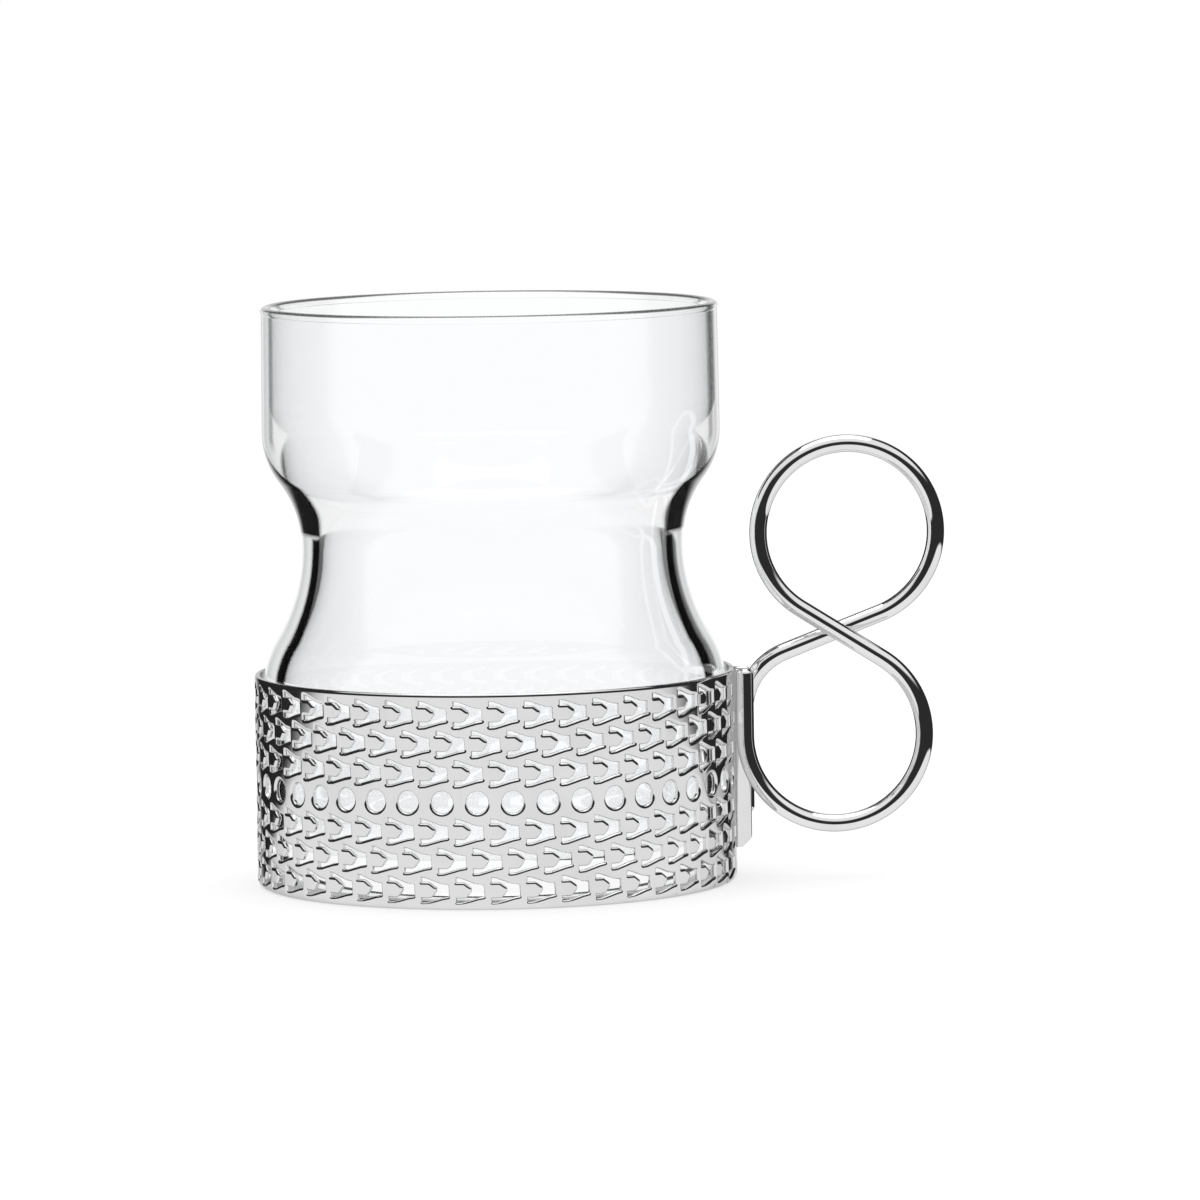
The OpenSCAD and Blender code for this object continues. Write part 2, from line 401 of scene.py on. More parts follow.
@dataclass
class HolderBand:
    """The perforated strip, bent into a ring with a lip below and tabs at its ends."""

    sheet: float = 0.8
    bend_r: float = 1.1
    seat_r: float = 29.0
    # An edge is rolled over this width and depth outside, and over this radius inside, in
    # rows at these angles from the outer face
    roll_wide: float = 0.55
    roll_deep: float = 0.32
    inner_r: float = 0.15
    roll_turns: tuple[int, ...] = (0, 15, 30, 48, 68, 90, 91, 135, 180)
    # Round a hole this share of the width lies in the metal, and the rest narrows the hole
    hole_set_back: float = 0.4
    # How far the pressed webs face down at the top and at the foot, as slopes
    web_lean: float = 0.125
    foot_lean: float = 0.30
    tab_out: float = 2.4
    tab_z: float = 4.8
    tab_chamfer: float = 1.5
    tab_bend_r: float = 0.5
    corner_r: float = 0.6
    edge_step: float = 1.2
    # Rows of points that keep the bends even
    fold_top: float = 0.35
    fold_rows: int = 6
    lip_rows: int = 5
    tab_rows: int = 7
    tab_margin: float = 1.0
    tab_step: float = 2.0
    perforation: Perforation = field(default_factory=Perforation)

    def __post_init__(self) -> None:
        """Takes the ring's radius and height from the frame."""
        _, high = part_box("holder_band")
        self.ring_r = round(high.y / MM, 2)
        self.band_h = round(high.z / MM, 2)
        self.around = 2 * math.pi * self.ring_r
        # Where the strip's ends leave the ring to become the tabs
        self.bend_y = self.sheet + self.tab_bend_r
        self.bend_x = math.sqrt((self.ring_r + self.tab_bend_r) ** 2 - self.bend_y ** 2)
        self.leave = math.atan2(self.bend_y, self.bend_x)
        self.leave_at = self.ring_r * self.leave
        self.turn = RIGHT_ANGLE - self.leave
        self.turn_length = self.turn * (self.tab_bend_r + self.sheet / 2)
        self.tab_length = self.turn_length + self.ring_r + self.tab_out - self.bend_x
        self.fold_low = self.bend_r * (1 - RIGHT_ANGLE)
        self.strip_low = self.fold_low - (self.ring_r - self.bend_r - self.seat_r)

    def lean(self, height: np.ndarray) -> np.ndarray:
        """Tells how far the pressed webs face down, as a slope, at heights of the strip."""
        share = np.clip(1 - height / self.band_h, 0, 1)
        return self.web_lean + (self.foot_lean - self.web_lean) * share ** 2

    def on_ring(self, flat: np.ndarray, depth: float) -> Surface:
        """Bends points of the flat strip round the ring and its lip.

        Args:
            flat: Rows of (distance along the ring, height along the strip).
            depth: The distance below the outer face.

        Returns:
            The points in space with their directions.
        """
        round_it, tangent = rise_and_tangent(flat[:, 0] / self.ring_r)
        height = flat[:, 1]
        fold = np.clip((self.bend_r - height) / self.bend_r, 0, RIGHT_ANGLE)
        past = np.minimum(height - self.fold_low, 0)
        arm = self.bend_r - depth
        radius = self.ring_r - self.bend_r + arm * np.cos(fold) + past
        z = self.bend_r - arm * np.sin(fold) + np.maximum(height - self.bend_r, 0)
        zero = np.zeros(len(flat))
        place = np.column_stack([round_it * radius[:, None], z])
        drop = self.lean(height) * np.cos(fold)
        normal = np.column_stack([round_it * np.cos(fold)[:, None], -np.sin(fold) - drop])
        up = np.column_stack([round_it * np.sin(fold)[:, None], np.cos(fold)])
        return Surface(place, normal, np.column_stack([tangent, zero]), up)

    def tab_root(self, end: StripEnd) -> float:
        """Gives the place along the strip where a tab starts."""
        return -self.leave_at if end is StripEnd.FRONT else -self.around + self.leave_at

    def on_tab(self, flat: np.ndarray, depth: float, end: StripEnd) -> Surface:
        """Bends points of the flat strip out of the ring into one tab.

        Args:
            flat: Rows of (distance along the ring, height).
            depth: The distance below the outer face.
            end: Which end of the strip it is.

        Returns:
            The points in space with their directions.
        """
        root, way = self.tab_root(end), end.value
        run = (flat[:, 0] - root) * way
        angle = math.pi + self.leave + np.clip(run / self.turn_length, 0, 1) * self.turn
        unit, tangent = rise_and_tangent(angle)
        past = np.maximum(run - self.turn_length, 0)
        arm = self.tab_bend_r + depth
        plan = np.array([self.bend_x, self.bend_y]) + arm * unit + past[:, None] * [1, 0]
        # The back end lies on the +Y side, and runs against the strip's own direction
        flip = np.array([1.0, -way])
        zero = np.zeros(len(flat))
        return Surface(
            np.column_stack([plan * flip, flat[:, 1]]),
            np.column_stack([-unit * flip, zero - self.web_lean]),
            np.column_stack([tangent * way * flip, zero]),
            np.column_stack([zero, zero, zero + 1]),
        )

    def strip_outline(self) -> Outline:
        """Draws the flat strip up to the two bends, with a step under each tab.

        Returns:
            The outline, by distance along the ring and height.
        """
        low, high, left = self.strip_low, self.band_h, -self.around
        step_down = (0.0, 0.0)
        return rounded([
            Corner(left, low, self.corner_r), Corner(0, low, self.corner_r),
            Corner(0, self.tab_z, self.corner_r),
            Corner(-self.leave_at, self.tab_z, 0, step_down, Rim.JOINED),
            Corner(-self.leave_at, high, 0, (0, -1)),
            Corner(left + self.leave_at, high, 0, (0, -1), Rim.JOINED),
            Corner(left + self.leave_at, self.tab_z, 0, step_down),
            Corner(left, self.tab_z, self.corner_r),
        ], self.edge_step, hole=False)

    def tab_outline(self, end: StripEnd) -> Outline:
        """Draws one flat tab from the start of its bend, with its chamfered corner.

        Args:
            end: Which end of the strip it is.

        Returns:
            The outline, by distance along the ring and height.
        """
        low, high, cut = self.tab_z, self.band_h, self.tab_chamfer
        root, way = self.tab_root(end), end.value
        tip = root + way * self.tab_length
        corners = [
            Corner(root, low, 0, (0, 0)), Corner(tip - way * cut, low, self.corner_r),
            Corner(tip, low + cut, self.corner_r), Corner(tip, high, self.corner_r),
            Corner(root, high, 0, (0, -1)),
        ]
        if end is StripEnd.BACK:
            corners.reverse()
        corners[-1] = replace(corners[-1], rim=Rim.JOINED)
        return rounded(corners, self.edge_step, hole=False)

    def lay_sheet(self, data: MeshData, bend: Bend, outline: Outline, holes: list[Outline],
                  inner_points: np.ndarray) -> None:
        """Cuts a sheet with rounded edges from the flat and bends it.

        Args:
            data: The mesh that it is added to.
            bend: A function that bends flat points at a depth.
            outline: The sheet's outer edge.
            holes: The holes in it.
            inner_points: Points of the plain metal, for an even bend.
        """
        loops = [outline, *holes]
        offsets = np.cumsum([0] + [len(loop.points) for loop in loops])
        set_back = [self.roll_wide] + [self.roll_wide * self.hole_set_back] * len(holes)
        faces = [loop.points + loop.inwards * back for loop, back in zip(loops, set_back)]
        inner_back = [back - self.roll_wide + self.inner_r for back in set_back]
        inner_faces = [loop.points + loop.inwards * b for loop, b in zip(loops, inner_back)]
        flat = np.concatenate(faces + [inner_points])
        inner_flat = np.concatenate(inner_faces + [inner_points])
        owner = np.full(len(flat), -1)
        sides = []
        for k, loop in enumerate(loops):
            numbers = np.arange(offsets[k], offsets[k + 1])
            owner[numbers] = k
            sides.extend(np.column_stack([numbers, np.roll(numbers, -1)]).tolist())
        result = geometry.delaunay_2d_cdt(flat.tolist(), sides, [], 1, SAME_POINT)
        triangles = np.array([source[0] for source in result[3]])[np.array(result[2])]
        owners = owner[triangles]
        same = (owners[:, 0] == owners[:, 1]) & (owners[:, 1] == owners[:, 2])
        keep = np.ones(len(triangles), bool)
        # A triangle whose corners are all on one hole's edge may lie in the hole
        for k in np.unique(owners[same, 0]):
            if k < 1:
                continue
            rows = np.nonzero(same & (owners[:, 0] == k))[0]
            keep[rows[inside(flat[triangles[rows]].mean(1), faces[k])]] = False
        used, triangles = np.unique(triangles[keep], return_inverse=True)
        triangles = triangles.reshape(-1, 3)
        for places, depth, side in ((flat, 0.0, 1), (inner_flat, self.sheet, -1)):
            face = bend(places[used], depth)
            numbers = data.add(face.place, unit_rows(face.normal) * side)
            data.faces.extend(numbers[triangles[:, ::side]].tolist())
        for k, (loop, back) in enumerate(zip(loops, set_back)):
            rows = [self.rim_row(data, bend, loop, back, math.radians(turn))
                    for turn in self.roll_turns]
            keep_rim = np.array([rim is Rim.ROUNDED for rim in loop.rims])
            for upper, lower in zip(rows, rows[1:]):
                # The first loop is the sheet's outer edge, and the others are holes
                pair = (upper, lower) if k else (lower, upper)
                data.add_strip(*pair, keep_rim)

    def rim_row(self, data: MeshData, bend: Bend, loop: Outline, back: float,
                turn: float) -> np.ndarray:
        """Adds one row of the rolled edge round an outline.

        Args:
            data: The mesh that it is added to.
            bend: A function that bends flat points at a depth.
            loop: The outline.
            back: How far behind the outline the outer face ends.
            turn: The way from the outer face at 0, past the cut face, to the inner at pi.

        Returns:
            The numbers of the row's vertices.
        """
        if turn <= RIGHT_ANGLE:
            wide, deep = self.roll_wide, self.roll_deep
            depth = deep * (1 - math.cos(turn))
            inset = back - wide * math.sin(turn)
        else:
            wide = deep = self.inner_r
            depth = self.sheet - deep * (1 + math.cos(turn))
            inset = back - self.roll_wide + wide * (1 - math.sin(turn))
        ring = bend(loop.points + loop.inwards * inset, depth)
        away = -(ring.along * loop.inwards[:, :1] + ring.up * loop.inwards[:, 1:])
        normal = ring.normal * math.cos(turn) / deep + away * math.sin(turn) / wide
        return data.add(ring.place, unit_rows(normal))

    def plain_points(self) -> np.ndarray:
        """Spreads points over the metal that has no holes, for an even bend.

        Returns:
            Rows of (distance along the ring, height).
        """
        count = round(self.around / self.edge_step)
        along = -self.around + (np.arange(count - 1) + 1) * self.around / count
        folds = np.linspace(self.fold_low, self.bend_r * self.fold_top, self.fold_rows)
        lip = np.linspace(self.strip_low, self.fold_low, self.lip_rows)[1:-1]
        return np.array([[a, h] for h in (*lip, *folds) for a in along])

    def tab_points(self, end: StripEnd) -> np.ndarray:
        """Spreads points over one tab, for an even bend.

        Args:
            end: Which end of the strip it is.

        Returns:
            Rows of (distance along the ring, height).
        """
        root, way = self.tab_root(end), end.value
        along = root + way * np.linspace(0, self.turn_length, self.tab_rows)[1:]
        heights = np.arange(self.tab_z + self.tab_margin, self.band_h - self.tab_margin,
                            self.tab_step)
        return np.array([[a, h] for a in along for h in heights])

    def build(self) -> bpy.types.Object:
        """Makes the ring with its lip and its tabs as one mesh.

        Returns:
            The ring.
        """
        data = MeshData()
        holes = self.perforation.holes(self.ring_r, self.band_h)
        self.lay_sheet(data, self.on_ring, self.strip_outline(), holes, self.plain_points())
        for end in StripEnd:
            self.lay_sheet(data, lambda flat, depth, end=end: self.on_tab(flat, depth, end),
                           self.tab_outline(end), [], self.tab_points(end))
        made = data.build("steel_ring")
        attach(made, Body.HOLDER.value)
        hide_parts("holder_band")
        return made

    def dress(self, piece: bpy.types.Object, groups: "Groups") -> None:
        """Gives the ring its polished sheet steel."""
        piece.data.materials.append(SHEET_STEEL.build(groups))


@dataclass
class WireHandle:
    """One round wire, bent into a figure eight and welded to the two tabs."""

    diameter: float = 2.75
    gap: float = 0.15
    weld: float = 0.1
    end_drop: float = 0.1
    front_run: float = 10.6
    rear_run: float = 16.1
    loop_low_r: float = 14.05
    loop_up_r: float = 13.95
    loop_rise: float = 31.65
    loop_lean: float = 2.3
    return_r: float = 10.0
    return_rise: float = 3.5
    cross_gap: float = 0.3
    end_r: float = 1.0
    end_steps: int = 8
    sheet: float = 0.8
    sides: int = 32
    step: float = 0.6

    def __post_init__(self) -> None:
        """Takes the place of the wire from the ring."""
        _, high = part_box("holder_band")
        self.radius = self.diameter / 2
        self.x = round(high.y / MM, 2) + self.gap + self.radius
        self.strand_y = self.sheet + self.radius - self.weld
        self.cross_y = (self.diameter + self.cross_gap) / 2
        self.end_z = round(high.z / MM, 2) - self.end_drop

    def bow(self, centre: np.ndarray, radius: float, start: float, end: float,
            from_y: float, to_y: float, flip: float) -> np.ndarray:
        """Runs the wire's middle line round an arc, while it moves across the crossing.

        Args:
            centre: The arc's centre in the XZ plane.
            radius: Its radius.
            start: The angle at which it starts, in radians.
            end: The angle at which it ends.
            from_y: The line's y at its start.
            to_y: The line's y at its end.
            flip: A turn that keeps the section's own axis steady from arc to arc.

        Returns:
            Rows of (x, y, z, heading, section radius).
        """
        count = max(2, math.ceil(abs(end - start) * radius / self.step))
        share = np.linspace(0, 1, count + 1)
        angle = start + (end - start) * share
        unit, _ = rise_and_tangent(angle)
        y = from_y + (to_y - from_y) * (1 - np.cos(math.pi * share)) / 2
        return np.column_stack([
            centre[0] + radius * unit[:, 0], y, centre[1] + radius * unit[:, 1],
            angle - flip, np.full(count + 1, self.radius),
        ])

    def tip(self, y: float, z: float, way: float) -> np.ndarray:
        """Rounds off one end of the wire, from its tip inwards.

        Args:
            y: The place of the strand.
            z: The height of the tip.
            way: 1 where the tip is the strand's upper end and -1 where it is the lower.

        Returns:
            Rows of (x, y, z, heading, section radius).
        """
        angles = np.radians(np.linspace(90, 0, self.end_steps))
        rows = [(self.x, y, z + way * self.end_r * (math.sin(a) - 1), math.pi,
                 self.radius - self.end_r * (1 - math.cos(a))) for a in angles]
        return np.array(rows)

    def stations(self) -> np.ndarray:
        """Lists the wire's sections from its front end to its rear end.

        Returns:
            Rows of (x, y, z, heading, section radius).
        """
        low = np.array([self.x + self.loop_low_r, self.end_z - self.front_run])
        up = low + [self.loop_lean, self.loop_rise]
        back = np.array([self.x + self.return_r, low[1] + self.return_rise])
        rise = up - low
        cross = up - back
        front = (math.atan2(rise[1], rise[0])
                 - math.acos((self.loop_low_r + self.loop_up_r) / np.linalg.norm(rise)))
        rear = (math.atan2(cross[1], cross[0])
                + math.acos((self.return_r + self.loop_up_r) / np.linalg.norm(cross)))
        pi = math.pi
        return np.concatenate([
            self.tip(-self.strand_y, self.end_z, 1),
            self.bow(low, self.loop_low_r, pi, 2 * pi + front,
                     -self.strand_y, -self.cross_y, 0),
            self.bow(up, self.loop_up_r, pi + front, rear - pi,
                     -self.cross_y, self.cross_y, pi),
            self.bow(back, self.return_r, rear, pi, self.cross_y, self.strand_y, 0),
            self.tip(self.strand_y, back[1] - self.rear_run, -1)[::-1],
        ])

    def build(self) -> bpy.types.Object:
        """Sweeps the round section along the stations.

        Returns:
            The wire.
        """
        rows = self.stations()
        around = 2 * math.pi * (np.arange(self.sides) + 0.5) / self.sides
        across, side = np.cos(around), np.sin(around)
        x, y, z, head, size = (rows[:, k][:, None] for k in range(5))
        reach = size * across
        places = np.stack([x + reach * np.cos(head), y + size * side, z + reach * np.sin(head)],
                          -1).reshape(-1, 3)
        faces = [list(range(self.sides))]
        for i in range(len(rows) - 1):
            for j in range(self.sides):
                a = i * self.sides + j
                b = i * self.sides + (j + 1) % self.sides
                faces.append([a, a + self.sides, b + self.sides, b])
        last = (len(rows) - 1) * self.sides
        faces.append([last + j for j in range(self.sides - 1, -1, -1)])
        made = smooth_piece("steel_wire", places, faces)
        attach(made, Body.HOLDER.value)
        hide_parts("wire_handle")
        return made

    def dress(self, piece: bpy.types.Object, groups: "Groups") -> None:
        """Gives the wire its polished steel."""
        piece.data.materials.append(WIRE_STEEL.build(groups))


@dataclass
class TeaGlass:
    """The blown glass: a thin wall of revolution with a waist and a beaded rim."""

    mouth_d: float = 71.4
    bowl_d: float = 71.8
    waist_d: float = 59.8
    bulge_d: float = 72.8
    waist_h: float = 52.4
    waist_up_r: float = 17.1
    shoulder_r: float = 12.9
    waist_low_r: float = 26.5
    hip_r: float = 17.3
    wall: float = 1.3
    low_wall: float = 3.3
    waist_in_r: float = 12.0
    shoulder_in_r: float = 24.0
    base: float = 4.2
    bead: float = 1.5
    foot_r: float = 6.0
    floor_r: float = 8.0
    punt_d: float = 44.0
    punt_deep: float = 1.4
    # The longest steps along an arc, round the rim and on a straight run. The last is the
    # short one beside each arc, which keeps the arc's shading out of the straight run
    step: float = 0.9
    fine_step: float = 0.2
    straight_step: float = 3.0
    blend: float = 0.12
    sectors: int = 240

    def __post_init__(self) -> None:
        """Takes the height of the foot and of the rim from the frame."""
        low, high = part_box("tea_glass")
        self.foot_z = round(low.z / MM, 2)
        self.rim_z = round(high.z / MM, 2)

    def side(self, low_t: float, up_t: float, up_r: float, top_r: float,
             facing: float) -> list[np.ndarray]:
        """Draws one face of the wall, from the bulge up to the bowl.

        Args:
            low_t: How far inside the outer face it lies up to the waist.
            up_t: How far inside the outer face it lies at the bowl.
            up_r: The radius of its curve above the waist.
            top_r: The radius of its shoulder.
            facing: 1 for the outer face and -1 for the inner one.

        Returns:
            The face's arcs, each as rows of (radius, height, normal).
        """
        bulge_r, waist_r, bowl_r = self.bulge_d / 2, self.waist_d / 2, self.bowl_d / 2 - up_t
        waist_z = self.foot_z + self.waist_h
        up = math.acos(1 - (bowl_r - waist_r + low_t) / (up_r + top_r))
        low = math.acos(1 - (bulge_r - waist_r) / (self.waist_low_r + self.hip_r))
        hip_z = waist_z - (self.waist_low_r + self.hip_r) * math.sin(low)
        shoulder_z = waist_z + (up_r + top_r) * math.sin(up)
        pi = math.pi
        return [
            self.arc((bulge_r - self.hip_r, hip_z), self.hip_r - low_t, 0, low, facing),
            self.arc((waist_r + self.waist_low_r, waist_z), self.waist_low_r + low_t,
                     pi + low, pi, -facing),
            self.arc((waist_r - low_t + up_r, waist_z), up_r, pi, pi - up, -facing),
            self.arc((bowl_r - top_r, shoulder_z), top_r, -up, 0, facing),
        ]

    def arc(self, centre: tuple[float, float], radius: float, start: float, end: float,
            facing: float, step: float | None = None) -> np.ndarray:
        """Draws an arc of the section with its normals.

        Args:
            centre: The arc's centre.
            radius: Its radius.
            start: The angle of its first point, in radians.
            end: The angle of its last point.
            facing: 1 where the air lies outside the arc and -1 where it lies inside.
            step: The longest step between two points.

        Returns:
            Rows of (radius, height, normal's radius part, normal's height part).
        """
        points = arc_points(centre, radius, start, end, step or self.step)
        return np.hstack([points, unit_rows(points - np.asarray(centre)) * facing])

    def profile(self) -> np.ndarray:
        """Draws the whole section, from the middle of the base round to the floor inside.

        Returns:
            Rows of (radius, height, normal's radius part, normal's height part).
        """
        bulge_r = self.bulge_d / 2
        floor_z = self.foot_z + self.base
        bead_r = self.bead / 2
        meet = math.asin(self.wall / self.bead)
        punt_r = ((self.punt_d / 2) ** 2 + self.punt_deep ** 2) / 2 / self.punt_deep
        punt_turn = math.asin(self.punt_d / 2 / punt_r)
        right = RIGHT_ANGLE
        punt = self.arc((0, self.foot_z + self.punt_deep - punt_r), punt_r,
                        right, right - punt_turn, -1, 2 * self.step)
        foot = self.arc((bulge_r - self.foot_r, self.foot_z + self.foot_r), self.foot_r,
                        -right, 0, 1, self.step / 2)
        rim = self.arc(((self.mouth_d - self.wall) / 2, self.rim_z - bead_r), bead_r,
                       meet - right, 3 * right - meet, 1, self.fine_step)
        turn_in = self.arc((bulge_r - self.low_wall - self.floor_r, floor_z + self.floor_r),
                           self.floor_r, 0, -right, -1, self.step / 2)
        outer = self.side(0, 0, self.waist_up_r, self.shoulder_r, 1)
        inner = self.side(self.low_wall, self.wall, self.waist_in_r, self.shoulder_in_r, -1)
        runs = [punt, foot, *outer, rim, *(run[::-1] for run in inner[::-1]), turn_in]
        runs.append(np.array([[0, floor_z, 0, 1]]))
        rows = [runs[0]]
        for before, after in zip(runs, runs[1:]):
            gap = after[0, :2] - before[-1, :2]
            length = float(np.linalg.norm(gap))
            if length < SAME_POINT:
                rows.append(after[1:])
                continue
            count = max(2, math.ceil(length / self.straight_step))
            share = np.r_[self.blend / length, np.linspace(0, 1, count + 1)[1:-1],
                          1 - self.blend / length]
            if length < 4 * self.blend:
                share = np.array([0.5])
            along = gap / length
            plain = np.tile([along[1], -along[0]], (len(share), 1))
            rows += [np.hstack([before[-1, :2] + share[:, None] * gap, plain]), after]
        return np.concatenate(rows)

    def build(self) -> bpy.types.Object:
        """Turns the section round the axis.

        Returns:
            The glass.
        """
        section = self.profile()
        turning = section[1:-1]
        angles = 2 * math.pi * np.arange(self.sectors) / self.sectors
        unit, _ = rise_and_tangent(angles)
        rings, ways = (np.concatenate([np.column_stack([unit * r, np.full(self.sectors, z)])
                                       for r, z in turning[:, k:k + 2]]) for k in (0, 2))
        places = np.concatenate([rings, [[0, 0, section[0, 1]], [0, 0, section[-1, 1]]]])
        ways = np.concatenate([ways, [[0, 0, -1], [0, 0, 1]]])
        foot_hub, floor_hub = len(rings), len(rings) + 1
        faces = []
        last = (len(turning) - 1) * self.sectors
        for j in range(self.sectors):
            k = (j + 1) % self.sectors
            faces.append([foot_hub, k, j])
            faces.append([floor_hub, last + j, last + k])
            for i in range(0, last, self.sectors):
                faces.append([i + j, i + k, i + self.sectors + k, i + self.sectors + j])
        made = smooth_piece("clear_tea_glass", places, faces, ways)
        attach(made, Body.GLASS.value)
        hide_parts("tea_glass")
        return made

    def dress(self, piece: bpy.types.Object, groups: "Groups") -> None:
        """Gives the glass its clear material."""
        piece.data.materials.append(BLOWN_GLASS.build(groups))


# What an input of a node takes: the output of another node, a number, or a colour or vector
Feed = bpy.types.NodeSocket | float | tuple[float, ...]


class NodeTree:
    """Short calls for placing and joining the nodes of one shader tree."""

    column_width: int = 190

    def __init__(self, tree: bpy.types.NodeTree) -> None:
        """Keeps the tree and the place for the next node."""
        self.tree = tree
        self.across = 0

    def feed(self, target: bpy.types.NodeSocket, value: Feed) -> None:
        """Joins an output to an input, or sets the input's own value.

        Args:
            target: The input.
            value: What it takes.
        """
        if isinstance(value, bpy.types.NodeSocket):
            self.tree.links.new(value, target)
        else:
            target.default_value = value

    def fill(self, node: bpy.types.Node, **values: Feed) -> None:
        """Feeds inputs of a node by their names, with _ for each space."""
        for name, value in values.items():
            self.feed(node.inputs[name.replace("_", " ")], value)

    def add(self, kind: str, **values: object) -> bpy.types.Node:
        """Adds a node.

        Args:
            kind: The node's type, without its ShaderNode prefix.
            **values: Attributes of the node, or what its inputs take, by their names.

        Returns:
            The node.
        """
        node = self.tree.nodes.new(kind if kind.startswith("Node") else "ShaderNode" + kind)
        node.location = (self.across, 0)
        self.across += self.column_width
        for name, value in values.items():
            if name in node.bl_rna.properties:
                setattr(node, name, value)
            else:
                self.fill(node, **{name: value})
        return node

    def math(self, operation: str, *values: Feed) -> bpy.types.NodeSocket:
        """Adds a Math node.

        Args:
            operation: What it does.
            *values: What it works on.

        Returns:
            Its result.
        """
        node = self.add("Math", operation=operation)
        for target, value in zip(node.inputs, values):
            self.feed(target, value)
        return node.outputs[0]

    def times(self, *values: Feed) -> bpy.types.NodeSocket:
        """Multiplies values with each other."""
        return reduce(lambda first, second: self.math("MULTIPLY", first, second), values)

    def most(self, *values: Feed) -> bpy.types.NodeSocket:
        """Takes the largest of some values."""
        return reduce(lambda first, second: self.math("MAXIMUM", first, second), values)

    def ramp(self, value: Feed, low: float, high: float, to_low: float = 0.0,
             to_high: float = 1.0) -> bpy.types.NodeSocket:
        """Maps the range from low to high smoothly to another one."""
        return self.add("MapRange", interpolation_type="SMOOTHSTEP", Value=value, From_Min=low,
                        From_Max=high, To_Min=to_low, To_Max=to_high).outputs[0]

    def band(self, value: Feed, bounds: tuple[float, float],
             soft: tuple[float, float]) -> bpy.types.NodeSocket:
        """Rises from 0 to 1 after one bound and falls again after the other."""
        return self.times(self.ramp(value, bounds[0], bounds[0] + soft[0]),
                          self.ramp(value, bounds[1], bounds[1] + soft[1], 1, 0))

    def blend(self, factor: Feed, first: Feed, second: Feed) -> bpy.types.NodeSocket:
        """Mixes two colours.

        Args:
            factor: The share of the second.
            first: The first colour.
            second: The second colour.

        Returns:
            The mixed colour.
        """
        node = self.add("Mix", data_type="RGBA", Factor=factor)
        self.feed(node.inputs[6], first)
        self.feed(node.inputs[7], second)
        return node.outputs[2]

    def parts(self, vector: Feed) -> list[bpy.types.NodeSocket]:
        """Splits a vector into its three parts."""
        return list(self.add("SeparateXYZ", Vector=vector).outputs)

    def own_place(self) -> bpy.types.NodeSocket:
        """Gives the place on the object, in metres."""
        return self.add("TexCoord").outputs["Object"]

    def show(self, share: Feed, first: bpy.types.Node, second: bpy.types.Node) -> None:
        """Makes the material's surface of two shaders.

        Args:
            share: The share of the second.
            first: The first shader.
            second: The second shader.
        """
        mix = self.add("MixShader", Fac=share)
        self.feed(mix.inputs[1], first.outputs[0])
        self.feed(mix.inputs[2], second.outputs[0])
        self.fill(self.tree.nodes["Material Output"], Surface=mix.outputs[0])


def new_group(name: str, inputs: dict[str, tuple[str, object]],
              outputs: dict[str, str]) -> tuple[bpy.types.NodeTree, NodeTree]:
    """Starts a shader node group with named sockets.

    Args:
        name: The group's name.
        inputs: Each input's socket type and its value at first.
        outputs: Each output's socket type.

    Returns:
        The group, and the helper that places its nodes.
    """
    group = bpy.data.node_groups.new(name, "ShaderNodeTree")
    for label, (kind, value) in inputs.items():
        socket = group.interface.new_socket(label, in_out="INPUT", socket_type=kind)
        socket.default_value = value
    for label, kind in outputs.items():
        group.interface.new_socket(label, in_out="OUTPUT", socket_type=kind)
    return group, NodeTree(group)


def new_material(name: str) -> tuple[bpy.types.Material, NodeTree, bpy.types.Node]:
    """Starts a material.

    Args:
        name: Its name.

    Returns:
        The material, the helper that places its nodes, and its Principled node.
    """
    material = bpy.data.materials.new(name)
    material.use_nodes = True
    tree = NodeTree(material.node_tree)
    return material, tree, tree.tree.nodes["Principled BSDF"]


@dataclass(frozen=True)
class FineWear:
    """The effect that clouds a polished face with fine hairlines and haze."""

    haze_range: tuple[float, float] = (0.42, 0.72)
    hair_range: tuple[float, float] = (0.62, 0.74)
    hair_share: float = 0.7
    hair_stretch: tuple[float, float, float] = (1.0, 1.0, 0.06)
    hair_turn: tuple[float, float, float] = (0.5, 0.3, 0.8)

    def build(self) -> bpy.types.NodeTree:
        """Makes the effect's node group.

        Returns:
            The group, which puts out a colour and a roughness.
        """
        number, colour = "NodeSocketFloat", "NodeSocketColor"
        group, tree = new_group("Fine wear", {
            "Clean Color": (colour, (0.8, 0.8, 0.8, 1)),
            "Worn Color": (colour, (0.7, 0.7, 0.7, 1)),
            "Clean Roughness": (number, 0.05), "Worn Roughness": (number, 0.15),
            "Haze Scale": (number, 60.0), "Hairline Scale": (number, 900.0),
        }, {"Color": colour, "Roughness": number})
        given = tree.add("NodeGroupInput").outputs
        place = tree.own_place()
        haze = tree.add("TexNoise", Vector=place, Scale=given["Haze Scale"], Detail=4.0,
                        Roughness=0.6)
        turned = tree.add("Mapping", Vector=place, Scale=self.hair_stretch,
                          Rotation=self.hair_turn)
        lines = tree.add("TexNoise", Vector=turned.outputs[0], Scale=given["Hairline Scale"],
                         Detail=2.0)
        cloud = tree.ramp(haze.outputs["Fac"], *self.haze_range)
        hair = tree.ramp(lines.outputs["Fac"], *self.hair_range)
        worn = tree.most(cloud, tree.times(hair, self.hair_share))
        mixed = tree.blend(worn, given["Clean Color"], given["Worn Color"])
        span = tree.math("SUBTRACT", given["Worn Roughness"], given["Clean Roughness"])
        rough = tree.math("MULTIPLY_ADD", worn, span, given["Clean Roughness"])
        tree.add("NodeGroupOutput", Color=mixed, Roughness=rough)
        return group


